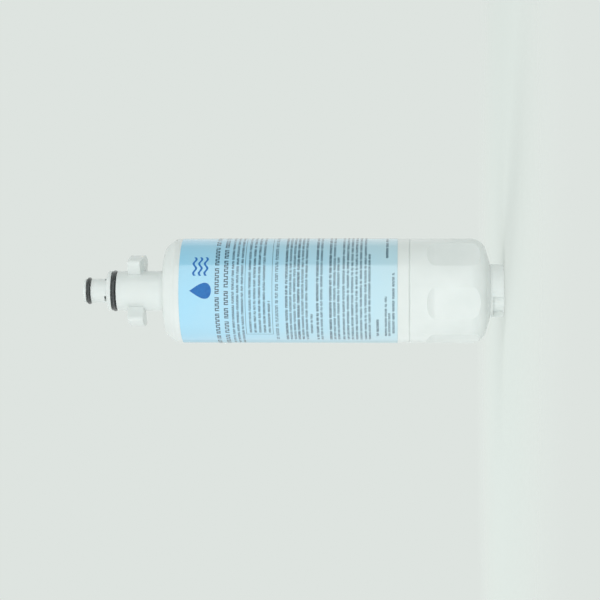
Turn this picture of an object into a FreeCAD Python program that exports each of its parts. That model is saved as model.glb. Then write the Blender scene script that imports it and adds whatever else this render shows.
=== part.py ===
"""Refrigerator water filter cartridge, standing on its grip end with the nozzle up.

The axis is +Z and the foot of the end boss is at height 0. The two bayonet ears point along +X and -X.
Lengths are in millimetres and angles in degrees.
"""
import FreeCAD, Part
import math
import os
import Sketcher

# Driving sizes: name in the sheet, value, what it measures
SIZES = [
    ("body_radius", 21.65, "outside of the tube and of the grip"),
    ("tube_wall", 1.9, "wall of the tube and of the shoulder"),
    ("tube_length", 96.8, "weld seam to the foot of the shoulder slope"),
    ("slope_length", 4.7, "height of the shoulder slope"),
    ("slope_inset", 3.65, "top edge of the shoulder slope, in from the tube"),
    ("slope_round", 3.0, "rounding where the slope meets the tube"),
    ("shoulder_round", 3.6, "rounding of the shoulder's top edge"),
    ("neck_length", 8.9, "shoulder to the back of the ears"),
    ("neck_round", 2.4, "fillet at the root of the neck"),
    ("ear_length", 6.6, "height of a bayonet ear"),
    ("ear_reach", 6.5, "ears out from the neck"),
    ("ear_angle", 74.0, "sweep of one ear"),
    ("ear_round", 1.4, "rounding of an ear's front and sides"),
    ("ear_ramp_run", 3.6, "lead-in on the back of an ear, round the axis"),
    ("ear_ramp_rise", 1.4, "lead-in on the back of an ear, along the axis"),
    ("spigot_length", 8.9, "front of the ears to the nozzle's step"),
    ("spigot_radius", 8.3, "neck and large spigot"),
    ("step_land", 1.8, "step to the inlet ring's groove"),
    ("step_wall", 1.6, "thickness of the wall behind the step"),
    ("nozzle_length", 10.2, "step to the tip"),
    ("nozzle_radius", 5.0, "small spigot"),
    ("tip_land", 1.25, "tip to the outlet ring's groove"),
    ("tip_chamfer", 0.6, "lead-in at the tip and at the step"),
    ("outlet_bore_radius", 2.25, "outlet port"),
    ("outlet_bore_depth", 4.4, "tip to the nipple's seat"),
    ("nipple_seat_radius", 3.4, "bore that the nipple seals in"),
    ("nose_wall", 1.75, "inlet passage to the floor of the inlet ring's groove"),
    ("port_width", 3.0, "inlet port, round the nozzle"),
    ("port_height", 1.2, "inlet port, along the nozzle"),
    ("port_angle", -44.0, "first inlet port, from the front towards +X"),
    ("port_count", 3, "inlet ports"),
    ("outlet_ring_section", 1.7, "thickness of the outlet ring"),
    ("inlet_ring_section", 1.95, "thickness of the inlet ring"),
    ("outlet_groove_depth", 1.05, "groove of the outlet ring"),
    ("inlet_groove_depth", 1.65, "groove of the inlet ring"),
    ("groove_play", 0.4, "room beside a ring in its groove"),
    ("ring_clearance", 0.02, "room between a ring and the wall that it seals on"),
    ("handle_length", 38.8, "foot of the end boss to the weld seam"),
    ("seam_chamfer", 0.35, "edge break on both sides of the weld seam"),
    ("skirt_length", 8.0, "grip's collar inside the tube"),
    ("skirt_wall", 1.8, "wall of that collar"),
    ("weld_clearance", 0.05, "collar to the inside of the tube"),
    ("handle_turn", 46.0, "turn of the grip against the nozzle"),
    ("end_rise", 3.2, "rise of the end face from the boss to the rim"),
    ("end_round", 6.6, "rounding of the grip's end"),
    ("boss_radius", 11.0, "end boss"),
    ("boss_height", 5.5, "end boss"),
    ("boss_wall", 4.4, "wall round the hollow in the end boss"),
    ("boss_round", 0.6, "edge of the boss's lobes"),
    ("notch_angle", 62.0, "sweep of one notch in the boss"),
    ("notch_depth", 2.2, "notches, in from the side of the boss"),
    ("notch_sill", 0.9, "end face to the floor of the notches and of the boss's hollow"),
    ("notch_count", 2, "notches in the boss"),
    ("flat_depth", 1.05, "finger flat at its middle"),
    ("flat_rim", 10.4, "weld seam to the start of a flat's run-out"),
    ("flat_runout", 6.0, "radius of the run-out towards the seam"),
    ("flat_count", 6, "finger flats"),
    ("floor_thickness", 2.6, "grip's end wall over the boss"),
    ("floor_corner", 4.4, "slope in the corner of the grip's floor"),
    ("post_height", 6.8, "socket post on the grip's floor"),
    ("post_wall", 2.4, "wall of the socket post"),
    ("rib_thickness", 1.6, "ribs round the socket post"),
    ("rib_drop", 1.2, "top of the post to the top of the ribs"),
    ("rib_root", 0.5, "ribs into the grip's floor"),
    ("rib_count", 6, "ribs round the socket post"),
    ("peg_radius", 4.2, "peg under the blind cap"),
    ("peg_clearance", 0.1, "peg to the wall of its socket"),
    ("peg_gap", 1.2, "peg to the floor of its socket"),
    ("cap_thickness", 2.5, "disc of both end caps"),
    ("cap_skirt", 4.0, "end caps over the side of the block"),
    ("cap_wall", 0.8, "skirt of the end caps"),
    ("cap_clearance", 0.05, "end caps to the wrap and the liner"),
    ("cap_gap", 0.35, "end caps to the inside of the grip"),
    ("plug_depth", 3.0, "end caps into the bore of the block"),
    ("block_bore_radius", 5.0, "bore of the carbon block"),
    ("wrap_thickness", 0.8, "felt round the block"),
    ("liner_thickness", 0.7, "felt in the bore of the block"),
    ("standoff_height", 3.4, "spacers on the outlet cap"),
    ("standoff_thickness", 1.6, "spacers on the outlet cap"),
    ("standoff_length", 6.5, "spacers on the outlet cap"),
    ("standoff_setback", 3.0, "rim of the outlet cap to its spacers"),
    ("standoff_count", 6, "spacers on the outlet cap"),
    ("nipple_clearance", 0.3, "head of the nipple to its seat"),
    ("nipple_stem_radius", 2.5, "nipple below its head"),
    ("nipple_bore_radius", 1.5, "passage in the nipple"),
    ("nipple_land", 0.9, "nipple's head on both sides of its ring's groove"),
    ("nipple_ring_section", 1.1, "thickness of the nipple's ring"),
    ("nipple_gap", 0.3, "end of the nipple to the end of its seat"),
    ("label_foot", 4.9, "weld seam to the label"),
    ("label_head", 2.8, "label to the foot of the shoulder slope"),
    ("label_thickness", 0.12, "printed film"),
    ("label_glue", 0.06, "glue layer under the film"),
    ("label_sweep", 357.0, "label round the tube, open along the back"),
]

doc = FreeCAD.newDocument("WaterFilterCartridge")
sheet = doc.addObject("Spreadsheet::Sheet", "Sizes")
for row, (alias, value, meaning) in enumerate(SIZES, start=1):
    sheet.set(f"A{row}", meaning)
    sheet.set(f"B{row}", str(value))
    sheet.setAlias(f"B{row}", alias)
doc.recompute()


class Size:
    """A size known both as a number and as the sheet expression that gives it."""

    def __init__(self, number, text):
        self.number = number
        self.text = text

    def combine(self, other, sign):
        other = other if isinstance(other, Size) else Size(other, str(other))
        results = {"+": self.number + other.number, "-": self.number - other.number,
                   "*": self.number * other.number}
        return Size(results[sign], f"({self.text} {sign} {other.text})")

    def __add__(self, other):
        return self.combine(other, "+")

    def __sub__(self, other):
        return self.combine(other, "-")

    def __mul__(self, other):
        return self.combine(other, "*")

    def __neg__(self):
        return Size(-self.number, f"(-{self.text})")


def size(alias):
    """The named cell of the sheet."""
    return Size(float(sheet.get(alias)), f"Sizes.{alias}")


AXIS = Size(0.0, "0")
# Cuts start and end this far outside the solid that they cut
OVERSHOOT = Size(2.0, "2")
# Edges closer than this to a wanted place are taken to be there
SAME = 0.01

# Heights along the axis, from the foot of the boss up to the tip
seam = size("handle_length")
slope_foot = seam + size("tube_length")
shoulder = slope_foot + size("slope_length")
ear_back = shoulder + size("neck_length")
ear_front = ear_back + size("ear_length")
step = ear_front + size("spigot_length")
tip = step + size("nozzle_length")
nipple_seat = tip - size("outlet_bore_depth")
ceiling = shoulder - size("tube_wall")

# Radii of the nozzle end, and the grooves of the two outer rings
shoulder_radius = size("body_radius") - size("slope_inset")
ear_radius = size("spigot_radius") + size("ear_reach")
outlet_ring_seat = size("nozzle_radius") - size("outlet_groove_depth")
inlet_ring_seat = size("spigot_radius") - size("inlet_groove_depth")
nose_bore = inlet_ring_seat - size("nose_wall")
outlet_groove_top = tip - size("tip_land")
outlet_groove_foot = outlet_groove_top - size("outlet_ring_section") - size("groove_play")
inlet_groove_top = step - size("step_land")
inlet_groove_foot = inlet_groove_top - size("inlet_ring_section") - size("groove_play")

# Inside of the tube, and the collar of the grip that is welded into it
chamber_radius = size("body_radius") - size("tube_wall")
skirt_radius = chamber_radius - size("weld_clearance")
handle_bore = skirt_radius - size("skirt_wall")

# Boss and floor of the grip, and the socket post that carries the filter block
boss_hollow = size("boss_radius") - size("boss_wall")
notch_floor = size("boss_height") - size("notch_sill")
handle_floor = size("boss_height") + size("floor_thickness")
post_top = handle_floor + size("post_height")
socket_radius = size("peg_radius") + size("peg_clearance")
post_radius = socket_radius + size("post_wall")

# Filter block between its two caps
block_foot = post_top + size("cap_thickness")
cap_top = ceiling - size("standoff_height")
block_top = cap_top - size("cap_thickness")
cap_radius = handle_bore - size("cap_gap")
cap_bore = cap_radius - size("cap_wall")
wrap_radius = cap_bore - size("cap_clearance")
block_radius = wrap_radius - size("wrap_thickness")
liner_bore = size("block_bore_radius") - size("liner_thickness")
plug_radius = liner_bore - size("cap_clearance")

# Nipple of the outlet cap and its ring
nipple_top = nipple_seat - size("nipple_gap")
nipple_groove_top = nipple_top - size("nipple_land")
nipple_groove_foot = nipple_groove_top - size("nipple_ring_section") - size("groove_play")
nipple_head_foot = nipple_groove_foot - size("nipple_land")
nipple_radius = size("nipple_seat_radius") - size("nipple_clearance")
nipple_groove_radius = size("nipple_seat_radius") - size("nipple_ring_section") - size("ring_clearance") * 2


def new_body(label):
    """An empty body whose label names the piece."""
    body = doc.addObject("PartDesign::Body", label)
    body.Label = label
    return body


def origin(body, role):
    """One of the body's own base planes or axes."""
    return next(item for item in body.Origin.OriginFeatures if item.Role == role)


def fix_point(sketch, line, point, across, up):
    """Tie the start or end of a sketch line to two sizes measured from the sketch's origin."""
    for kind, wanted in (("DistanceX", across), ("DistanceY", up)):
        number = sketch.addConstraint(Sketcher.Constraint(kind, -1, 1, line, point, wanted.number))
        sketch.setExpression(f"Constraints[{number}]", wanted.text)


def outline(body, name, corners, plane="XZ_Plane"):
    """A closed outline of straight lines, each corner given by its two sizes."""
    sketch = body.newObject("Sketcher::SketchObject", name)
    sketch.AttachmentSupport = (origin(body, plane), [""])
    sketch.MapMode = "FlatFace"
    places = [FreeCAD.Vector(across.number, up.number, 0) for across, up in corners]
    ends = places[1:] + places[:1]
    for start, end in zip(places, ends):
        sketch.addGeometry(Part.LineSegment(start, end), False)
    for line in range(len(corners)):
        sketch.addConstraint(Sketcher.Constraint("Coincident", line, 2, (line + 1) % len(corners), 1))
        fix_point(sketch, line, 1, *corners[line])
    return sketch


def box_corners(inner, outer, low, high):
    """Corners of an upright rectangle."""
    return [(inner, low), (outer, low), (outer, high), (inner, high)]


def turn(body, name, corners, kind="PartDesign::Revolution", angle=None):
    """Turn an outline about the axis, all the way round or through an angle centred on its plane."""
    sketch = outline(body, name + "Outline", corners)
    feature = body.newObject(kind, name)
    feature.Profile = (sketch, [""])
    feature.ReferenceAxis = (sketch, ["V_Axis"])
    feature.Angle = 360
    if angle is not None:
        feature.Midplane = True
        feature.setExpression("Angle", angle.text)
    doc.recompute()
    return feature


def repeat(body, feature, name, count):
    """Repeat a feature evenly round the axis."""
    pattern = body.newObject("PartDesign::PolarPattern", name)
    pattern.Originals = [feature]
    pattern.Axis = (origin(body, "Z_Axis"), [""])
    pattern.Angle = 360
    pattern.setExpression("Occurrences", count.text)
    body.Tip = pattern
    doc.recompute()
    return pattern


def edge_names(feature, wanted):
    """Names of the edges that the test picks out."""
    edges = enumerate(feature.Shape.Edges, start=1)
    return [f"Edge{number}" for number, edge in edges if wanted(edge)]


def rim(radius, height):
    """Test for a round edge about the axis at one radius and height."""
    def wanted(edge):
        curve = edge.Curve
        if not isinstance(curve, Part.Circle):
            return False
        on_axis = math.hypot(curve.Center.x, curve.Center.y) < SAME
        level = abs(curve.Center.z - height.number) < SAME
        return on_axis and level and abs(curve.Radius - radius.number) < SAME
    return wanted


def soften(body, feature, name, wanted, amount, kind="PartDesign::Fillet"):
    """Round or chamfer the edges that the test picks out."""
    blend = body.newObject(kind, name)
    blend.Base = (feature, edge_names(feature, wanted))
    prop = "Radius" if kind == "PartDesign::Fillet" else "Size"
    blend.setExpression(prop, amount.text)
    doc.recompute()
    return blend


def check_cut(before, after, name):
    """Stop if a cut took nothing away."""
    if after.Shape.Volume >= before.Shape.Volume - 1e-6:
        raise RuntimeError(f"{name} cuts nothing")


def make_housing():
    """Nozzle, neck, shoulder and tube, one moulding that is open at the weld seam."""
    body = new_body("housing")
    wall = size("tube_wall")
    spigot = size("spigot_radius")
    nozzle = size("nozzle_radius")
    shell = turn(body, "HousingShell", [
        (size("outlet_bore_radius"), tip),
        (nozzle, tip),
        (nozzle, outlet_groove_top),
        (outlet_ring_seat, outlet_groove_top),
        (outlet_ring_seat, outlet_groove_foot),
        (nozzle, outlet_groove_foot),
        (nozzle, step),
        (spigot, step),
        (spigot, inlet_groove_top),
        (inlet_ring_seat, inlet_groove_top),
        (inlet_ring_seat, inlet_groove_foot),
        (spigot, inlet_groove_foot),
        (spigot, shoulder),
        (shoulder_radius, shoulder),
        (size("body_radius"), slope_foot),
        (size("body_radius"), seam),
        (chamber_radius, seam),
        (chamber_radius, slope_foot - wall),
        (shoulder_radius - wall, ceiling),
        (nose_bore, ceiling),
        (nose_bore, step - size("step_wall")),
        (size("nipple_seat_radius"), step - size("step_wall")),
        (size("nipple_seat_radius"), nipple_seat),
        (size("outlet_bore_radius"), nipple_seat),
    ])
    sloped = soften(body, shell, "SlopeRound", rim(size("body_radius"), slope_foot), size("slope_round"))
    edged = soften(body, sloped, "ShoulderRound", rim(shoulder_radius, shoulder), size("shoulder_round"))
    rooted = soften(body, edged, "NeckRound", rim(spigot, shoulder), size("neck_round"))
    tipped = soften(body, rooted, "TipLeadIn", rim(nozzle, tip), size("tip_chamfer"), "PartDesign::Chamfer")
    stepped = soften(body, tipped, "StepLeadIn", rim(spigot, step), size("tip_chamfer"), "PartDesign::Chamfer")
    seamed = soften(body, stepped, "SeamEdge", rim(size("body_radius"), seam), size("seam_chamfer"),
                    "PartDesign::Chamfer")

    # Inlet ports, cut outwards from the axis at the foot of the small spigot
    half_width = size("port_width") * 0.5
    port_outline = outline(body, "PortOutline",
                           box_corners(-half_width, half_width, step, step + size("port_height")))
    turned = FreeCAD.Rotation(FreeCAD.Vector(0, 1, 0), 0)
    port_outline.AttachmentOffset = FreeCAD.Placement(FreeCAD.Vector(), turned)
    port_outline.setExpression("AttachmentOffset.Rotation.Angle", size("port_angle").text)
    port = body.newObject("PartDesign::Pocket", "Port")
    port.Profile = (port_outline, [""])
    port.Reversed = True
    port.setExpression("Length", (nozzle + OVERSHOOT).text)
    doc.recompute()
    check_cut(seamed, port, "Port")
    repeat(body, port, "Ports", size("port_count"))

    # Two bayonet ears with rounded fronts, and a lead-in ramp on the back of each
    ear = turn(body, "Ear", box_corners(spigot - size("ear_round"), ear_radius, ear_back, ear_front),
               angle=size("ear_angle"))
    pair = repeat(body, ear, "Ears", Size(2, "2"))

    def outer_front_or_side(edge):
        ends = [edge.valueAt(edge.FirstParameter), edge.valueAt(edge.LastParameter)]
        outside = all(abs(math.hypot(end.x, end.y) - ear_radius.number) < SAME for end in ends)
        upright = abs(ends[0].z - ends[1].z) > SAME
        at_front = all(abs(end.z - ear_front.number) < SAME for end in ends)
        return outside and (upright or at_front)

    rounded = soften(body, pair, "EarRound", outer_front_or_side, size("ear_round"))

    # The sketch stands on the neck, square to the leading side of the first ear
    ramp_outline = outline(body, "RampOutline", [
        (-OVERSHOOT, ear_back - OVERSHOOT),
        (size("ear_ramp_run"), ear_back - OVERSHOOT),
        (size("ear_ramp_run"), ear_back),
        (AXIS, ear_back + size("ear_ramp_rise")),
        (-OVERSHOOT, ear_back + size("ear_ramp_rise")),
    ])
    leading_side = -(size("ear_angle") * 0.5) + 90
    ramp_outline.AttachmentOffset = FreeCAD.Placement(FreeCAD.Vector(), turned)
    ramp_outline.setExpression("AttachmentOffset.Rotation.Angle", leading_side.text)
    ramp_outline.setExpression("AttachmentOffset.Base.x", f"{spigot.text} * sin({leading_side.text})")
    ramp_outline.setExpression("AttachmentOffset.Base.z", f"{spigot.text} * cos({leading_side.text})")
    ramp = body.newObject("PartDesign::Pocket", "Ramp")
    ramp.Profile = (ramp_outline, [""])
    ramp.Reversed = True
    ramp.setExpression("Length", (size("ear_reach") + OVERSHOOT).text)
    doc.recompute()
    check_cut(rounded, ramp, "Ramp")
    repeat(body, ramp, "Ramps", Size(2, "2"))
    return body


def make_end_handle():
    """Grip end with its weld collar, finger flats, rounded end, notched boss and socket post."""
    body = new_body("end_handle")
    outer = size("body_radius")
    boss = size("boss_radius")
    rim_foot = size("boss_height") + size("end_rise")
    shell = turn(body, "GripShell", [
        (handle_bore, seam + size("skirt_length")),
        (skirt_radius, seam + size("skirt_length")),
        (skirt_radius, seam),
        (outer, seam),
        (outer, rim_foot),
        (boss, size("boss_height")),
        (boss, AXIS),
        (boss_hollow, AXIS),
        (boss_hollow, notch_floor),
        (AXIS, notch_floor),
        (AXIS, handle_floor),
        (socket_radius, handle_floor),
        (socket_radius, post_top),
        (post_radius, post_top),
        (post_radius, handle_floor),
        (handle_bore - size("floor_corner"), handle_floor),
        (handle_bore, handle_floor + size("floor_corner")),
    ])
    ended = soften(body, shell, "EndRound", rim(outer, rim_foot), size("end_round"))
    seamed = soften(body, ended, "GripSeamEdge", rim(outer, seam), size("seam_chamfer"), "PartDesign::Chamfer")
    edged = soften(body, seamed, "BossRound", rim(boss, AXIS), size("boss_round"))

    # Notches in the side of the boss, which leave its lobes
    notch = turn(body, "Notch",
                 box_corners(boss - size("notch_depth"), boss + OVERSHOOT, -OVERSHOOT, notch_floor),
                 "PartDesign::Groove", size("notch_angle"))
    check_cut(edged, notch, "Notch")
    notched = repeat(body, notch, "Notches", size("notch_count"))

    # Finger flats: level along the grip, with a hollow run-out below the seam
    floor_line = outer - size("flat_depth")
    runout = size("flat_runout")
    level_top = seam - size("flat_rim")
    corners = [
        (-floor_line, size("boss_height")),
        (-floor_line, level_top),
        (-(floor_line + runout), level_top + runout),
        (-(floor_line + runout), size("boss_height")),
    ]
    flat_outline = body.newObject("Sketcher::SketchObject", "FlatOutline")
    flat_outline.AttachmentSupport = (origin(body, "YZ_Plane"), [""])
    flat_outline.MapMode = "FlatFace"
    places = [FreeCAD.Vector(across.number, up.number, 0) for across, up in corners]
    middle = FreeCAD.Vector(places[2].x, places[1].y, 0)
    bend = Part.ArcOfCircle(Part.Circle(middle, FreeCAD.Vector(0, 0, 1), runout.number), 0, math.pi / 2)
    flat_outline.addGeometry(Part.LineSegment(places[0], places[1]), False)
    flat_outline.addGeometry(bend, False)
    flat_outline.addGeometry(Part.LineSegment(places[2], places[3]), False)
    flat_outline.addGeometry(Part.LineSegment(places[3], places[0]), False)
    for line, point, corner in ((0, 1, 0), (0, 2, 1), (2, 1, 2), (2, 2, 3)):
        fix_point(flat_outline, line, point, *corners[corner])
    for line, point, other, end in ((0, 2, 1, 1), (1, 2, 2, 1), (2, 2, 3, 1), (3, 2, 0, 1)):
        flat_outline.addConstraint(Sketcher.Constraint("Coincident", line, point, other, end))
    radius = flat_outline.addConstraint(Sketcher.Constraint("Radius", 1, runout.number))
    flat_outline.setExpression(f"Constraints[{radius}]", runout.text)
    flat = body.newObject("PartDesign::Pocket", "Flat")
    flat.Profile = (flat_outline, [""])
    flat.SideType = "Symmetric"
    flat.setExpression("Length", (outer * 2).text)
    doc.recompute()
    check_cut(notched, flat, "Flat")
    repeat(body, flat, "Flats", size("flat_count"))

    # Ribs that brace the socket post on the floor
    rib_top = post_top - size("rib_drop")
    rib_foot = handle_floor - size("rib_root")
    half_corner = size("floor_corner") * 0.5
    rib_outline = outline(body, "RibOutline", [
        (post_radius - size("rib_root"), rib_foot),
        (handle_bore - size("floor_corner"), rib_foot),
        (handle_bore - half_corner, rib_foot + half_corner),
        (handle_bore - half_corner, rib_top),
        (post_radius - size("rib_root"), rib_top),
    ])
    rib = body.newObject("PartDesign::Pad", "Rib")
    rib.Profile = (rib_outline, [""])
    rib.SideType = "Symmetric"
    rib.setExpression("Length", size("rib_thickness").text)
    doc.recompute()
    repeat(body, rib, "Ribs", size("rib_count"))

    body.Placement = FreeCAD.Placement(FreeCAD.Vector(), FreeCAD.Rotation(FreeCAD.Vector(0, 0, 1), 0))
    body.setExpression("Placement.Rotation.Angle", size("handle_turn").text)
    return body


def make_sleeve(label, inner, outer, low, high):
    """A plain round sleeve."""
    body = new_body(label)
    turn(body, label.title().replace("_", "") + "Wall", box_corners(inner, outer, low, high))
    return body


def make_label():
    """Printed film round the tube, with its open joint along the back."""
    body = new_body("label")
    foot = seam + size("label_foot")
    inner = size("body_radius") + size("label_glue")
    turn(body, "LabelFilm",
         box_corners(inner, inner + size("label_thickness"), foot, slope_foot - size("label_head")),
         angle=size("label_sweep"))
    body.Placement = FreeCAD.Placement(FreeCAD.Vector(), FreeCAD.Rotation(FreeCAD.Vector(0, 0, 1), -90))
    return body


def make_outlet_end_cap():
    """Cap on the top of the block, with the nipple that carries clean water up into the nozzle."""
    body = new_body("outlet_end_cap")
    stem = size("nipple_stem_radius")
    bore = size("nipple_bore_radius")
    turn(body, "OutletCapTurned", [
        (bore, nipple_top),
        (nipple_radius, nipple_top),
        (nipple_radius, nipple_groove_top),
        (nipple_groove_radius, nipple_groove_top),
        (nipple_groove_radius, nipple_groove_foot),
        (nipple_radius, nipple_groove_foot),
        (nipple_radius, nipple_head_foot),
        (stem, nipple_head_foot),
        (stem, cap_top),
        (cap_radius, cap_top),
        (cap_radius, block_top - size("cap_skirt")),
        (cap_bore, block_top - size("cap_skirt")),
        (cap_bore, block_top),
        (plug_radius, block_top),
        (plug_radius, block_top - size("plug_depth")),
        (bore, block_top - size("plug_depth")),
    ])
    spacer_end = cap_radius - size("standoff_setback")
    spacer_outline = outline(body, "SpacerOutline", box_corners(
        spacer_end - size("standoff_length"), spacer_end, cap_top - size("cap_thickness") * 0.5, ceiling))
    spacer = body.newObject("PartDesign::Pad", "Spacer")
    spacer.Profile = (spacer_outline, [""])
    spacer.SideType = "Symmetric"
    spacer.setExpression("Length", size("standoff_thickness").text)
    doc.recompute()
    repeat(body, spacer, "Spacers", size("standoff_count"))
    return body


def make_blind_end_cap():
    """Closed cap under the block, with the peg that stands in the grip's socket."""
    body = new_body("blind_end_cap")
    peg_foot = handle_floor + size("peg_gap")
    turn(body, "BlindCapTurned", [
        (AXIS, peg_foot),
        (size("peg_radius"), peg_foot),
        (size("peg_radius"), post_top),
        (cap_radius, post_top),
        (cap_radius, block_foot + size("cap_skirt")),
        (cap_bore, block_foot + size("cap_skirt")),
        (cap_bore, block_foot),
        (plug_radius, block_foot),
        (plug_radius, block_foot + size("plug_depth")),
        (AXIS, block_foot + size("plug_depth")),
    ])
    return body


def make_ring(label, floor_radius, section, groove_foot):
    """A rubber ring that lies on the floor of its groove, in the middle of the groove's width."""
    ring = doc.addObject("Part::Torus", label)
    ring.Label = label
    ring.setExpression("Radius1", (floor_radius + size("ring_clearance") + section * 0.5).text)
    ring.setExpression("Radius2", (section * 0.5).text)
    middle = groove_foot + (section + size("groove_play")) * 0.5
    ring.setExpression("Placement.Base.z", middle.text)
    return ring


pieces = [
    make_housing(),
    make_end_handle(),
    make_label(),
    make_ring("outlet_o_ring", outlet_ring_seat, size("outlet_ring_section"), outlet_groove_foot),
    make_ring("inlet_o_ring", inlet_ring_seat, size("inlet_ring_section"), inlet_groove_foot),
    make_sleeve("carbon_block", size("block_bore_radius"), block_radius, block_foot, block_top),
    make_sleeve("prefilter_wrap", block_radius, wrap_radius, block_foot, block_top),
    make_sleeve("fines_liner", liner_bore, size("block_bore_radius"), block_foot, block_top),
    make_outlet_end_cap(),
    make_blind_end_cap(),
    make_ring("nipple_o_ring", nipple_groove_radius, size("nipple_ring_section"), nipple_groove_foot),
]
doc.recompute()

for item in doc.Objects:
    if "Invalid" in item.State or "Error" in item.State:
        raise RuntimeError(f"{item.Label} failed: {item.State}")
for piece in pieces:
    if piece.Shape.isNull() or not piece.Shape.isValid() or len(piece.Shape.Solids) != 1:
        raise RuntimeError(f"{piece.Label} is not one valid solid")

os.makedirs("parts", exist_ok=True)
for piece in pieces:
    piece.Shape.exportStep(f"parts/{piece.Label}.step")
    print(piece.Label, round(piece.Shape.Volume / 1000, 2), "cm3")
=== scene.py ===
"""A refrigerator water filter cartridge under soft studio light, seen from the side that its label faces."""
import math
import random
from collections import namedtuple

import bmesh
import bpy
from mathutils import Matrix, Vector


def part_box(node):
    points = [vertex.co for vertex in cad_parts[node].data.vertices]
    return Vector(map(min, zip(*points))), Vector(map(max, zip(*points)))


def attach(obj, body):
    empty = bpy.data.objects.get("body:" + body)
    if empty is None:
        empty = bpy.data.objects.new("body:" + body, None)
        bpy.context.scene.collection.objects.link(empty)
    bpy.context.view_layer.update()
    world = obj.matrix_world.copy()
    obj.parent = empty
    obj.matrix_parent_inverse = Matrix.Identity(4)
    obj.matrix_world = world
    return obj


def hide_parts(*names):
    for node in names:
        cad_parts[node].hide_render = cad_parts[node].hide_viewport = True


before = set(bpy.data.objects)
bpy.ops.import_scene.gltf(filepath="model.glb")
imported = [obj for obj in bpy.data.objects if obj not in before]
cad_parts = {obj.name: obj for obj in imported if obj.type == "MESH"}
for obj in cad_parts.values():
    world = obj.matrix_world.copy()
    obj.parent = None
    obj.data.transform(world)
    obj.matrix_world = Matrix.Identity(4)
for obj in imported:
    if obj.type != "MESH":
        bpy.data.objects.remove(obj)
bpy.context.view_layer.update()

# Housing: the tube, shoulder, neck, two bayonet ears and stepped nozzle are one moulding in white
# polypropylene. It has the satin skin that the mould gave it, with faint clouds where the melt cooled.
MM = 0.001
WHITE_TONES = ((0.700, 0.735, 0.725, 1), (0.755, 0.785, 0.778, 1))
HOUSING_SKIN = (0.20, 0.26)
CLOUD_CELLS = 70
SKIN_CELLS = 420
SKIN_DETAIL = 4.0
PEEL_CELLS = 2600
PEEL_DEPTH = 0.004 * MM
PLASTIC_IOR = 1.49
MILKY_SHARE = 0.12
MILKY_DEPTHS = (1.6 * MM, 1.4 * MM, 1.3 * MM)
# Noise seldom leaves this middle range, so tones and roughness are spread over it
NOISE_LOW = 0.3
NOISE_HIGH = 0.7


def start_material(name):
    """A new material, its node tree and the shader that its nodes lead to."""
    made = bpy.data.materials.new(name)
    made.use_nodes = True
    return made, made.node_tree, made.node_tree.nodes["Principled BSDF"]


def add_node(tree, kind, inputs=None, **settings):
    """A node with its settings made, and each input given a value or linked to a socket."""
    node = tree.nodes.new(kind)
    for name, value in settings.items():
        setattr(node, name, value)
    for name, value in (inputs or {}).items():
        if isinstance(value, bpy.types.NodeSocket):
            tree.links.new(value, node.inputs[name])
        else:
            node.inputs[name].default_value = value
    return node


def grain(tree, cells, detail=2.0, stretch=(1, 1, 1)):
    """Noise that is fixed to the piece, with that many cells to the metre."""
    place = add_node(tree, "ShaderNodeTexCoord").outputs["Object"]
    spread = add_node(tree, "ShaderNodeMapping", {"Vector": place, "Scale": stretch})
    noise = add_node(tree, "ShaderNodeTexNoise",
                     {"Vector": spread.outputs["Vector"], "Scale": cells, "Detail": detail})
    return noise.outputs["Fac"]


def between(tree, noise, low, high):
    """A value from low to high, by the noise's middle range."""
    made = add_node(tree, "ShaderNodeMapRange", {
        "Value": noise,
        "From Min": NOISE_LOW,
        "From Max": NOISE_HIGH,
        "To Min": low,
        "To Max": high,
    })
    return made.outputs["Result"]


def tones(tree, noise, first, second):
    """A colour between two tones, by the noise's middle range."""
    ramp = add_node(tree, "ShaderNodeValToRGB", {"Fac": noise})
    ramp.color_ramp.elements[0].position = NOISE_LOW
    ramp.color_ramp.elements[0].color = first
    ramp.color_ramp.elements[1].position = NOISE_HIGH
    ramp.color_ramp.elements[1].color = second
    return ramp.outputs["Color"]


def relief(tree, height, depth):
    """A bumped normal of that depth."""
    return add_node(tree, "ShaderNodeBump", {"Height": height, "Distance": depth}).outputs["Normal"]


def moulded_plastic(name, two_tones, skin):
    """Moulded plastic: faint clouds of tone, a skin of varied roughness and a trace of orange peel."""
    made, tree, shader = start_material(name)
    tree.links.new(tones(tree, grain(tree, CLOUD_CELLS), *two_tones), shader.inputs["Base Color"])
    sheen = between(tree, grain(tree, SKIN_CELLS, SKIN_DETAIL), *skin)
    tree.links.new(sheen, shader.inputs["Roughness"])
    tree.links.new(relief(tree, grain(tree, PEEL_CELLS), PEEL_DEPTH), shader.inputs["Normal"])
    shader.inputs["IOR"].default_value = PLASTIC_IOR
    shader.inputs["Subsurface Weight"].default_value = MILKY_SHARE
    shader.inputs["Subsurface Radius"].default_value = MILKY_DEPTHS
    shader.inputs["Subsurface Scale"].default_value = 1.0
    return made


def dress(node, finish):
    """Give a solid of the frame its finish."""
    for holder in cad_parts[node].material_slots:
        holder.material = finish


dress("housing", moulded_plastic("white_housing_plastic", WHITE_TONES, HOUSING_SKIN))

# Grip end: a second white moulding with six finger flats, a rounded end and a two-lobed boss. Its
# collar is welded into the tube, which leaves the fine seam, and hands polish the grip a little.
GRIP_SKIN = (0.18, 0.24)
dress("end_handle", moulded_plastic("white_grip_plastic", WHITE_TONES, GRIP_SKIN))

# Seal rings: moulded black rubber rings that sit in the nozzle's two grooves, and a small one on the
# nipple inside. They are stretched on and lightly greased, so their sheen is uneven.
RUBBER_TONES = ((0.003, 0.004, 0.005, 1), (0.014, 0.021, 0.023, 1))
RUBBER_SKIN = (0.14, 0.40)
BLOOM_CELLS = 500
RUBBER_CELLS = 900
RUBBER_DETAIL = 3.0
DIMPLE_CELLS = 1500
DIMPLE_DEPTH = 0.06 * MM
GREASE_SHARE = 0.7
GREASE_ROUGHNESS = 0.06


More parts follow.
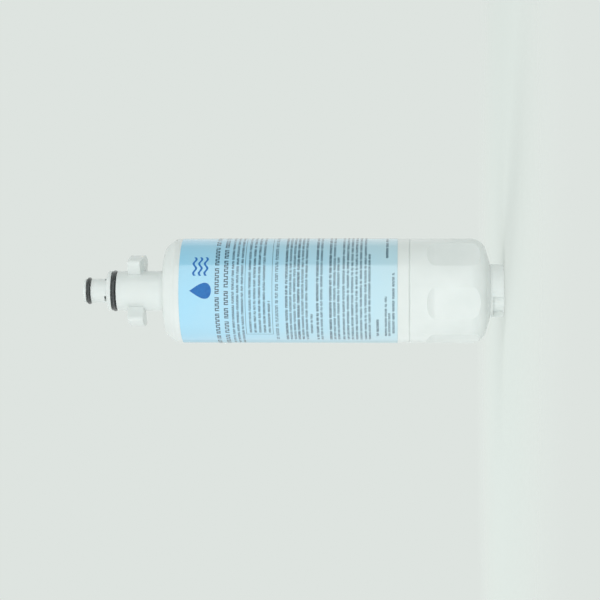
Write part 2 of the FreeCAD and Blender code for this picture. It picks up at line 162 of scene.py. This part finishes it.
def greased_rubber():
    """Black rubber with a bloom of grey, a patchy sheen, shallow dimples and a film of grease."""
    made, tree, shader = start_material("greased_ring_rubber")
    tree.links.new(tones(tree, grain(tree, BLOOM_CELLS), *RUBBER_TONES), shader.inputs["Base Color"])
    sheen = between(tree, grain(tree, RUBBER_CELLS, RUBBER_DETAIL), *RUBBER_SKIN)
    tree.links.new(sheen, shader.inputs["Roughness"])
    tree.links.new(relief(tree, grain(tree, DIMPLE_CELLS), DIMPLE_DEPTH), shader.inputs["Normal"])
    shader.inputs["Coat Weight"].default_value = GREASE_SHARE
    shader.inputs["Coat Roughness"].default_value = GREASE_ROUGHNESS
    return made


rubber = greased_rubber()
for ring in ("outlet_o_ring", "inlet_o_ring", "nipple_o_ring"):
    dress(ring, rubber)

# Label film: a pale blue printed plastic film, glued round the tube with its two ends left a little
# apart along the back. Its blue is fuller at the nozzle end and paler towards the grip.
INK_ROOM = 0.02 * MM
FILM_EDGE = 0.03 * MM
FILM_STEPS = 360
FILM_JOINT = math.radians(3)
FILM_CREASE = math.radians(30)
FILM_BLUE_NOZZLE = (0.275, 0.590, 0.790, 1)
FILM_BLUE_GRIP = (0.425, 0.630, 0.720, 1)
BLUE_CELLS = 120
BLUE_DETAIL = 3.0
BLUE_UNEVEN = 0.06
FILM_SKIN = (0.10, 0.17)
FILM_CELLS = 300
FILM_DETAIL = 3.0
GLUE_CELLS = 60
GLUE_DETAIL = 1.0
GLUE_STRETCH = (1, 1, 0.35)
GLUE_DEPTH = 0.12 * MM
FILM_IOR = 1.58
GLOSS_SHARE = 0.75
GLOSS_ROUGHNESS = 0.12
_, housing_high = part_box("housing")
label_low, label_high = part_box("label")
film_radius = label_high.x - INK_ROOM
film_inside = (housing_high.x + label_high.x) / 2


def new_piece(name, mesh, finish):
    """A finished mesh as a piece that rides on the part."""
    mesh.materials.clear()
    mesh.materials.append(finish)
    piece = bpy.data.objects.new(name, mesh)
    bpy.context.scene.collection.objects.link(piece)
    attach(piece, "root")
    return piece


def film_mesh():
    """The film's section carried round the tube, closed at both ends of its joint."""
    section = [
        (film_inside, label_low.z),
        (film_radius - FILM_EDGE, label_low.z),
        (film_radius, label_low.z + FILM_EDGE),
        (film_radius, label_high.z - FILM_EDGE),
        (film_radius - FILM_EDGE, label_high.z),
        (film_inside, label_high.z),
    ]
    work = bmesh.new()
    rows = []
    for step in range(FILM_STEPS + 1):
        angle = math.pi / 2 + FILM_JOINT / 2 + (2 * math.pi - FILM_JOINT) * step / FILM_STEPS
        rows.append([work.verts.new((r * math.cos(angle), r * math.sin(angle), z)) for r, z in section])
    for row, following in zip(rows, rows[1:]):
        for corner in range(len(section)):
            after = (corner + 1) % len(section)
            work.faces.new((row[corner], following[corner], following[after], row[after]))
    work.faces.new(rows[0])
    work.faces.new(list(reversed(rows[-1])))
    bmesh.ops.recalc_face_normals(work, faces=work.faces)
    mesh = bpy.data.meshes.new("label_film")
    work.to_mesh(mesh)
    work.free()
    mesh.shade_smooth()
    mesh.set_sharp_from_angle(angle=FILM_CREASE)
    return mesh


def add_gloss(shader):
    """The clear gloss that covers film and print alike."""
    shader.inputs["IOR"].default_value = FILM_IOR
    shader.inputs["Coat Weight"].default_value = GLOSS_SHARE
    shader.inputs["Coat Roughness"].default_value = GLOSS_ROUGHNESS


def printed_film():
    """Glossy film whose blue changes along the tube, slightly uneven from the print and the glue."""
    made, tree, shader = start_material("printed_label_film")
    place = add_node(tree, "ShaderNodeTexCoord").outputs["Object"]
    height = add_node(tree, "ShaderNodeSeparateXYZ", {"Vector": place}).outputs["Z"]
    along = add_node(tree, "ShaderNodeMapRange",
                     {"Value": height, "From Min": label_low.z, "From Max": label_high.z}).outputs["Result"]
    uneven = between(tree, grain(tree, BLUE_CELLS, BLUE_DETAIL), -BLUE_UNEVEN, BLUE_UNEVEN)
    mixed = add_node(tree, "ShaderNodeMath", {0: along, 1: uneven}, operation="ADD").outputs["Value"]
    blue = add_node(tree, "ShaderNodeValToRGB", {"Fac": mixed})
    blue.color_ramp.elements[0].color = FILM_BLUE_GRIP
    blue.color_ramp.elements[1].color = FILM_BLUE_NOZZLE
    tree.links.new(blue.outputs["Color"], shader.inputs["Base Color"])
    sheen = between(tree, grain(tree, FILM_CELLS, FILM_DETAIL), *FILM_SKIN)
    tree.links.new(sheen, shader.inputs["Roughness"])
    glue = grain(tree, GLUE_CELLS, GLUE_DETAIL, GLUE_STRETCH)
    tree.links.new(relief(tree, glue, GLUE_DEPTH), shader.inputs["Normal"])
    add_gloss(shader)
    return made


film = new_piece("label_film", film_mesh(), printed_film())
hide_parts("label")

# Label print: dark ink laid on the film in lines that run round the tube. The lines are plain zigzags in
# word-long groups, in the places of the small print, with one framed block and heavier headings.
INK_TONES = ((0.002, 0.045, 0.085, 1), (0.004, 0.070, 0.120, 1))
INK_CELLS = 900
INK_SKIN_CELLS = 1500
INK_DEPTH = 0.004 * MM
INK_HEIGHT = 0.012 * MM
PRINT_SEED = 7
FEWEST_UPRIGHTS = 3
MOST_UPRIGHTS = 14
# Lengths as shares of the height of a line: the shortest and longest steps between uprights, and the
# further gap after a group
UPRIGHT_STEPS = (0.42, 0.72)
GROUP_GAP = 0.45
# Height and stroke width of each size of print in millimetres
TITLE = (1.70, 0.48)
HEADING = (1.15, 0.28)
BOLD = (0.98, 0.36)
PLAIN = (0.90, 0.29)
SMALL = (0.86, 0.27)
# Blocks of lines, also in millimetres: the height of the first line's foot, and the lines' ends as lengths
# round the tube from the middle of the front
PrintBlock = namedtuple("PrintBlock", "foot size left right lines pitch", defaults=(1, 0))
MARGIN = -25.2
PRINT_BLOCKS = [
    PrintBlock(116.3, TITLE, -33.0, 40.0, lines=2, pitch=3.7),
    PrintBlock(110.2, PLAIN, -30.0, 36.0, lines=3, pitch=1.9),
    PrintBlock(103.3, PLAIN, -19.5, 37.0, lines=4, pitch=1.95),
    PrintBlock(95.5, PLAIN, -19.5, -4.0),
    PrintBlock(92.2, HEADING, -25.0, 38.0),
    PrintBlock(88.3, BOLD, MARGIN, 38.0),
    PrintBlock(86.7, SMALL, MARGIN, 36.0, lines=2, pitch=1.62),
    PrintBlock(83.4, BOLD, MARGIN, 38.0),
    PrintBlock(81.8, SMALL, MARGIN, 35.0, lines=2, pitch=1.62),
    PrintBlock(78.2, SMALL, -20.0, -10.0),
    PrintBlock(75.7, BOLD, MARGIN, 38.0),
    PrintBlock(74.1, SMALL, MARGIN, 33.0),
    PrintBlock(70.4, BOLD, MARGIN, 38.0),
    PrintBlock(68.8, SMALL, MARGIN, 37.0),
    PrintBlock(67.2, SMALL, MARGIN, 14.5),
    PrintBlock(65.1, SMALL, MARGIN, 37.0, lines=5, pitch=1.76),
    PrintBlock(56.2, SMALL, MARGIN, 35.0),
    PrintBlock(54.6, SMALL, MARGIN, 16.5),
    PrintBlock(51.3, BOLD, -22.0, -12.5),
    PrintBlock(48.0, SMALL, -22.0, -2.5),
    PrintBlock(46.6, SMALL, -22.0, -9.5),
    PrintBlock(44.9, PLAIN, -20.0, 7.5),
    PrintBlock(47.4, BOLD, 14.5, 30.0),
]
# The frame round the third and fourth blocks, and the width of its line, also in millimetres
FRAME_LEFT = -20.8
FRAME_RIGHT = 38.6
FRAME_LOW = 94.6
FRAME_HIGH = 105.6
FRAME_LINE = 0.18
FRAME_STEP = 1.0


def line_of_strokes(draw, block, foot):
    """Middles and sizes of one line's strokes: uprights in groups, joined in turn at top and foot."""
    tall, width = block.size
    strokes = []
    at = block.left
    while at < block.right:
        uprights = draw.randint(FEWEST_UPRIGHTS, MOST_UPRIGHTS)
        for upright in range(uprights):
            step = tall * draw.uniform(*UPRIGHT_STEPS)
            strokes.append(((at, foot + tall / 2), (width, tall)))
            if upright < uprights - 1:
                level = foot + width / 2 if upright % 2 else foot + tall - width / 2
                strokes.append(((at + step / 2, level), (step - width, width)))
            at += step
        at += tall * GROUP_GAP
    return [stroke for stroke in strokes if stroke[0][0] < block.right]


def frame_strokes():
    """The frame as two upright lines, and two lines round the tube in short steps that follow its curve."""
    middle = (FRAME_LOW + FRAME_HIGH) / 2
    tall = FRAME_HIGH - FRAME_LOW - FRAME_LINE
    strokes = [((side, middle), (FRAME_LINE, tall)) for side in (FRAME_LEFT, FRAME_RIGHT)]
    steps = round((FRAME_RIGHT - FRAME_LEFT) / FRAME_STEP)
    wide = (FRAME_RIGHT - FRAME_LEFT) / steps
    for step in range(steps):
        across = FRAME_LEFT + wide * (step + 0.5)
        strokes += [((across, edge), (wide, FRAME_LINE)) for edge in (FRAME_LOW, FRAME_HIGH)]
    return strokes


def stroke_points():
    """A mesh of points in the middles of the flat print's strokes, which carry the strokes' sizes."""
    draw = random.Random(PRINT_SEED)
    strokes = frame_strokes()
    for block in PRINT_BLOCKS:
        for line in range(block.lines):
            strokes += line_of_strokes(draw, block, block.foot - block.pitch * line)
    depth = INK_DEPTH + INK_HEIGHT
    inwards = (INK_DEPTH - INK_HEIGHT) / 2
    mesh = bpy.data.meshes.new("stroke_points")
    mesh.from_pydata([(across * MM, inwards, up * MM) for (across, up), _ in strokes], [], [])
    sizes = mesh.attributes.new("stroke_size", "FLOAT_VECTOR", "POINT")
    for item, (_, (width, tall)) in zip(sizes.data, strokes):
        item.vector = (width * MM, depth, tall * MM)
    return mesh


def wrapped_print_tree(ink):
    """A node tree that puts a block on each point and rolls the flat print round the film."""
    tree = bpy.data.node_groups.new("wrapped_print", "GeometryNodeTree")
    tree.interface.new_socket("Points", in_out="INPUT", socket_type="NodeSocketGeometry")
    radius = tree.interface.new_socket("Film Radius", in_out="INPUT", socket_type="NodeSocketFloat")
    tree.interface.new_socket("Print", in_out="OUTPUT", socket_type="NodeSocketGeometry")
    given = add_node(tree, "NodeGroupInput").outputs
    sizes = add_node(tree, "GeometryNodeInputNamedAttribute", {"Name": "stroke_size"},
                     data_type="FLOAT_VECTOR")
    block = add_node(tree, "GeometryNodeMeshCube")
    placed = add_node(tree, "GeometryNodeInstanceOnPoints", {
        "Points": given["Points"],
        "Instance": block.outputs["Mesh"],
        "Scale": sizes.outputs["Attribute"],
    })
    real = add_node(tree, "GeometryNodeRealizeInstances", {"Geometry": placed.outputs["Instances"]})
    place = add_node(tree, "GeometryNodeInputPosition").outputs["Position"]
    flat = add_node(tree, "ShaderNodeSeparateXYZ", {"Vector": place})

    def reckon(operation, first, second=0.0):
        return add_node(tree, "ShaderNodeMath", {0: first, 1: second}, operation=operation).outputs["Value"]

    angle = reckon("DIVIDE", flat.outputs["X"], given["Film Radius"])
    reach = reckon("SUBTRACT", given["Film Radius"], flat.outputs["Y"])
    across = reckon("MULTIPLY", reach, reckon("SINE", angle))
    back = reckon("MULTIPLY", reckon("MULTIPLY", reach, reckon("COSINE", angle)), -1.0)
    rolled = add_node(tree, "ShaderNodeCombineXYZ", {"X": across, "Y": back, "Z": flat.outputs["Z"]})
    curved = add_node(tree, "GeometryNodeSetPosition", {
        "Geometry": real.outputs["Geometry"],
        "Position": rolled.outputs["Vector"],
    })
    inked = add_node(tree, "GeometryNodeSetMaterial",
                     {"Geometry": curved.outputs["Geometry"], "Material": ink})
    add_node(tree, "NodeGroupOutput", {"Print": inked.outputs["Geometry"]})
    return tree, radius.identifier


def print_ink(name, two_tones, skin):
    """Ink that covers and shines a little unevenly."""
    made, tree, shader = start_material(name)
    tree.links.new(tones(tree, grain(tree, INK_CELLS), *two_tones), shader.inputs["Base Color"])
    tree.links.new(between(tree, grain(tree, INK_SKIN_CELLS), *skin), shader.inputs["Roughness"])
    return made, shader


def finished_mesh(holder):
    """The holder's mesh with its modifier applied. The holder itself is thrown away."""
    mesh = bpy.data.meshes.new_from_object(holder.evaluated_get(bpy.context.evaluated_depsgraph_get()))
    bpy.data.objects.remove(holder)
    return mesh


ink, ink_shader = print_ink("dark_print_ink", INK_TONES, FILM_SKIN)
add_gloss(ink_shader)
print_tree, radius_input = wrapped_print_tree(ink)
carrier = bpy.data.objects.new("stroke_points", stroke_points())
bpy.context.scene.collection.objects.link(carrier)
roll = carrier.modifiers.new("roll", "NODES")
roll.node_group = print_tree
roll[radius_input] = film_radius
new_piece("label_print", finished_mesh(carrier), ink)

# Label mark: a plain water drop and three ripples in blue ink, alone in the clear space at the nozzle end
# of the film. Their ink is printed last, on top of the gloss, so it is duller than the rest.
MARK_TONES = ((0.002, 0.120, 0.420, 1), (0.004, 0.150, 0.470, 1))
MARK_SKIN = (0.40, 0.55)
# Lengths in millimetres
MARK_HEIGHT = 124.0
DROP_TALL = 9.0
DROP_WIDE = 6.6
RIPPLE_PITCH = 2.3
RIPPLE_FROM = 6.2
RIPPLE_TO = 14.8
RIPPLE_RISE = 0.55
RIPPLE_LINE = 0.9
# The power that draws out the drop's tip, and the greatest value of its outline's formula
DROP_TAPER = 1.5
DROP_FULLEST = 0.702
DROP_ROWS = 40
DROP_COLUMNS = 10
RIPPLES = 3
RIPPLE_WAVES = 2
RIPPLE_STEPS = 48


def drop_rows():
    """The drop from its tip to its round end, as rows of points across it."""
    rows = []
    for step in range(1, DROP_ROWS):
        turned = math.pi * step / DROP_ROWS
        fullness = math.sin(turned) * math.sin(turned / 2) ** DROP_TAPER / DROP_FULLEST
        up = MARK_HEIGHT + DROP_TALL / 2 * math.cos(turned)
        edge = DROP_WIDE / 2 * fullness
        rows.append([(edge * (2 * column / DROP_COLUMNS - 1), up) for column in range(DROP_COLUMNS + 1)])
    return rows


def ripple_rows(middle):
    """One ripple as a band that waves up and down on its way round the tube."""
    rows = []
    for step in range(RIPPLE_STEPS + 1):
        share = step / RIPPLE_STEPS
        across = RIPPLE_FROM + (RIPPLE_TO - RIPPLE_FROM) * share
        up = middle + RIPPLE_RISE * math.sin(2 * math.pi * RIPPLE_WAVES * share)
        rows.append([(across, up - RIPPLE_LINE / 2), (across, up + RIPPLE_LINE / 2)])
    return rows


def printed_patches(name, patches):
    """Patches of ink on the film, each given by rows of points in millimetres."""
    corners = []
    faces = []
    reach = film_radius + INK_HEIGHT
    for rows in patches:
        first = len(corners)
        wide = len(rows[0])
        for across, up in (point for row in rows for point in row):
            angle = across * MM / film_radius
            corners.append((reach * math.sin(angle), -reach * math.cos(angle), up * MM))
        for row in range(len(rows) - 1):
            for column in range(wide - 1):
                at = first + row * wide + column
                faces.append((at, at + wide, at + wide + 1, at + 1))
    mesh = bpy.data.meshes.new(name)
    mesh.from_pydata(corners, [], faces)
    holder = bpy.data.objects.new(name, mesh)
    bpy.context.scene.collection.objects.link(holder)
    ink_layer = holder.modifiers.new("ink_layer", "SOLIDIFY")
    ink_layer.thickness = INK_DEPTH + INK_HEIGHT
    ink_layer.offset = -1
    return finished_mesh(holder)


mark = [drop_rows()]
for ripple in range(RIPPLES):
    mark.append(ripple_rows(MARK_HEIGHT + RIPPLE_PITCH * (ripple - (RIPPLES - 1) / 2)))
mark_ink, _ = print_ink("blue_mark_ink", MARK_TONES, MARK_SKIN)
new_piece("label_mark", printed_patches("label_mark", mark), mark_ink)

# Filter block: pressed activated carbon in a sleeve of white felt, with a thinner felt in its bore. The
# block and its felts are glued into two end caps of natural plastic, all sealed in out of sight.
CARBON_TONES = ((0.006, 0.006, 0.006, 1), (0.030, 0.030, 0.031, 1))
CARBON_CELLS = 1800
CARBON_DETAIL = 4.0
PIT_CELLS = 1400
PIT_DETAIL = 6.0
PIT_DEPTH = 0.4 * MM
CARBON_ROUGHNESS = 0.85
FELT_TONES = ((0.62, 0.61, 0.58, 1), (0.80, 0.79, 0.76, 1))
FIBRE_CELLS = 1600
FIBRE_DETAIL = 5.0
FIBRE_STRETCH = (1, 1, 0.25)
FIBRE_DEPTH = 0.3 * MM
FELT_ROUGHNESS = 0.9
FELT_SHEEN = 0.3
CAP_TONES = ((0.66, 0.66, 0.62, 1), (0.74, 0.74, 0.71, 1))
CAP_SKIN = (0.30, 0.42)


def pressed_carbon():
    """Dull black carbon grains pressed together, with small pits between them."""
    made, tree, shader = start_material("pressed_carbon")
    grains = tones(tree, grain(tree, CARBON_CELLS, CARBON_DETAIL), *CARBON_TONES)
    tree.links.new(grains, shader.inputs["Base Color"])
    tree.links.new(relief(tree, grain(tree, PIT_CELLS, PIT_DETAIL), PIT_DEPTH), shader.inputs["Normal"])
    shader.inputs["Roughness"].default_value = CARBON_ROUGHNESS
    return made


def filter_felt():
    """White felt with its fibres mostly along the roll, and a soft sheen."""
    made, tree, shader = start_material("filter_felt")
    fibres = grain(tree, FIBRE_CELLS, FIBRE_DETAIL, FIBRE_STRETCH)
    tree.links.new(tones(tree, fibres, *FELT_TONES), shader.inputs["Base Color"])
    tree.links.new(relief(tree, fibres, FIBRE_DEPTH), shader.inputs["Normal"])
    shader.inputs["Roughness"].default_value = FELT_ROUGHNESS
    shader.inputs["Sheen Weight"].default_value = FELT_SHEEN
    return made


felt = filter_felt()
natural_plastic = moulded_plastic("natural_cap_plastic", CAP_TONES, CAP_SKIN)
dress("carbon_block", pressed_carbon())
for sleeve in ("prefilter_wrap", "fines_liner"):
    dress(sleeve, felt)
for cap in ("outlet_end_cap", "blind_end_cap"):
    dress(cap, natural_plastic)

# Studio: a pale floor that fades into the pale surroundings, a curved soft light that wraps round the front
# and the -X side, a weaker one behind, and soft fills from the top and the back. Lengths are in metres.
PALE = (0.730, 0.775, 0.745, 1)
FLOOR_SIZE = 0.8
FLOOR_ROUGHNESS = 0.9
FLOOR_SOLID = 0.08
FLOOR_GONE = 0.36
FLOOR_GLOW = 0.45
FLOOR_BOUNCE = 0.9
AMBIENT = 0.63
SHEET_DISTANCE = 0.55
SHEET_LOW = 0.01
SHEET_HIGH = 0.24
SHEET_STEPS = 24
SHEET_FADE_FROM = -0.15
SHEET_FADE_TO = 0.40
LIGHT_TINT = (0.97, 1.0, 0.99)


def stage_piece(name, corners, faces, finish):
    """A plain mesh of the studio, which isn't part of the object."""
    mesh = bpy.data.meshes.new(name)
    mesh.from_pydata(corners, [], faces)
    mesh.materials.append(finish)
    made = bpy.data.objects.new(name, mesh)
    bpy.context.scene.collection.objects.link(made)
    return made


def seen_directly(tree):
    """1 for rays that show the surroundings themselves, and 0 for rays that only carry their light."""
    ray = add_node(tree, "ShaderNodeLightPath").outputs
    seen = add_node(tree, "ShaderNodeMath", {0: ray["Is Camera Ray"], 1: ray["Is Glossy Ray"]},
                    operation="ADD")
    shown = add_node(tree, "ShaderNodeMath", {0: seen.outputs["Value"], 1: ray["Is Transmission Ray"]},
                     operation="ADD", use_clamp=True)
    return shown.outputs["Value"]


def floor_finish():
    """Pale matt floor that keeps the object's shadow, throws light up at it and fades out with distance."""
    made, tree, shader = start_material("pale_floor")
    shader.inputs["Base Color"].default_value = PALE
    shader.inputs["Roughness"].default_value = FLOOR_ROUGHNESS
    shader.inputs["Specular IOR Level"].default_value = 0.0
    glow = add_node(tree, "ShaderNodeEmission", {"Color": PALE})
    share = add_node(tree, "ShaderNodeMapRange",
                     {"Value": seen_directly(tree), "To Min": FLOOR_BOUNCE, "To Max": FLOOR_GLOW})
    lit = add_node(tree, "ShaderNodeMixShader",
                   {0: share.outputs["Result"], 1: shader.outputs["BSDF"], 2: glow.outputs["Emission"]})
    place = add_node(tree, "ShaderNodeTexCoord").outputs["Object"]
    away = add_node(tree, "ShaderNodeVectorMath", {0: place}, operation="LENGTH").outputs["Value"]
    faded = add_node(tree, "ShaderNodeMapRange",
                     {"Value": away, "From Min": FLOOR_SOLID, "From Max": FLOOR_GONE},
                     interpolation_type="SMOOTHSTEP")
    clear = add_node(tree, "ShaderNodeBsdfTransparent")
    fading = add_node(tree, "ShaderNodeMixShader",
                      {0: faded.outputs["Result"], 1: lit.outputs["Shader"], 2: clear.outputs["BSDF"]})
    tree.links.new(fading.outputs["Shader"], tree.nodes["Material Output"].inputs["Surface"])
    return made


def soft_sheet(name, first, last, glow, far_glow):
    """A curved sheet of light round the axis, between two angles in degrees from the camera towards -X."""
    made = bpy.data.materials.new(name)
    made.use_nodes = True
    tree = made.node_tree
    tree.nodes.clear()
    place = add_node(tree, "ShaderNodeTexCoord").outputs["Object"]
    back = add_node(tree, "ShaderNodeSeparateXYZ", {"Vector": place}).outputs["Y"]
    fading = add_node(tree, "ShaderNodeMapRange", {
        "Value": back,
        "From Min": SHEET_FADE_FROM,
        "From Max": SHEET_FADE_TO,
        "To Min": glow,
        "To Max": far_glow,
    })
    shine = add_node(tree, "ShaderNodeEmission",
                     {"Color": (*LIGHT_TINT, 1), "Strength": fading.outputs["Result"]})
    add_node(tree, "ShaderNodeOutputMaterial", {"Surface": shine.outputs["Emission"]})
    corners = []
    for step in range(SHEET_STEPS + 1):
        turned = math.radians(first + (last - first) * step / SHEET_STEPS)
        across = -SHEET_DISTANCE * math.sin(turned)
        away = -SHEET_DISTANCE * math.cos(turned)
        corners += [(across, away, SHEET_LOW), (across, away, SHEET_HIGH)]
    faces = [(2 * step, 2 * step + 1, 2 * step + 3, 2 * step + 2) for step in range(SHEET_STEPS)]
    sheet = stage_piece(name, corners, faces, made)
    sheet.visible_camera = False
    sheet.visible_shadow = False


def disc_lamp(name, place, aim, width, watts):
    """A round lamp that fills the shade, and shows neither itself nor its reflection."""
    lamp = bpy.data.lights.new(name, "AREA")
    lamp.shape = "DISK"
    lamp.size = width
    lamp.energy = watts
    lamp.color = LIGHT_TINT
    holder = bpy.data.objects.new(name, lamp)
    holder.location = place
    holder.rotation_euler = (Vector(place) - Vector(aim)).to_track_quat("Z", "Y").to_euler()
    holder.visible_camera = False
    holder.visible_glossy = False
    bpy.context.scene.collection.objects.link(holder)


side = FLOOR_SIZE / 2
floor_corners = [(-side, -side, 0), (side, -side, 0), (side, side, 0), (-side, side, 0)]
stage_piece("floor", floor_corners, [(0, 1, 2, 3)], floor_finish())

soft_sheet("front_softbox", first=-57, last=138, glow=2.4, far_glow=1.15)
soft_sheet("rear_softbox", first=-118, last=-155, glow=1.05, far_glow=1.05)
disc_lamp("top_light", place=(0.05, -0.15, 0.75), aim=(0, 0, 0.15), width=0.5, watts=1.5)
disc_lamp("back_fill", place=(-0.3, 0.7, 0.35), aim=(0, 0, 0.09), width=0.4, watts=3.4)

world = bpy.data.worlds.new("pale_surroundings")
world.use_nodes = True
sky = world.node_tree
sky.nodes.clear()
strength = add_node(sky, "ShaderNodeMapRange",
                    {"Value": seen_directly(sky), "To Min": AMBIENT, "To Max": 1.0})
backdrop = add_node(sky, "ShaderNodeBackground", {"Color": PALE, "Strength": strength.outputs["Result"]})
add_node(sky, "ShaderNodeOutputWorld", {"Surface": backdrop.outputs["Background"]})
bpy.context.scene.world = world
bpy.context.scene.view_settings.view_transform = "Standard"

# Camera: level with the seam above the grip and square to the label, turned on its side so that the nozzle
# points left. Its place and aim are in metres, and its sensor and lens in millimetres.
CAMERA_PLACE = Vector((0, -0.814, 0.0388))
CAMERA_AIM = Vector((-0.00384, 0, 0.0844))
IMAGE_UP = Vector((1, 0, 0))
SENSOR_WIDTH = 36
LENS_LENGTH = 117.36
camera = bpy.data.cameras.new("camera")
camera.sensor_width = SENSOR_WIDTH
camera.lens = LENS_LENGTH
camera_holder = bpy.data.objects.new("camera", camera)
ahead = (CAMERA_AIM - CAMERA_PLACE).normalized()
right = ahead.cross(IMAGE_UP).normalized()
upwards = right.cross(ahead)
turn = Matrix((right, upwards, -ahead)).transposed().to_4x4()
camera_holder.matrix_world = Matrix.Translation(CAMERA_PLACE) @ turn
bpy.context.scene.collection.objects.link(camera_holder)
bpy.context.scene.camera = camera_holder
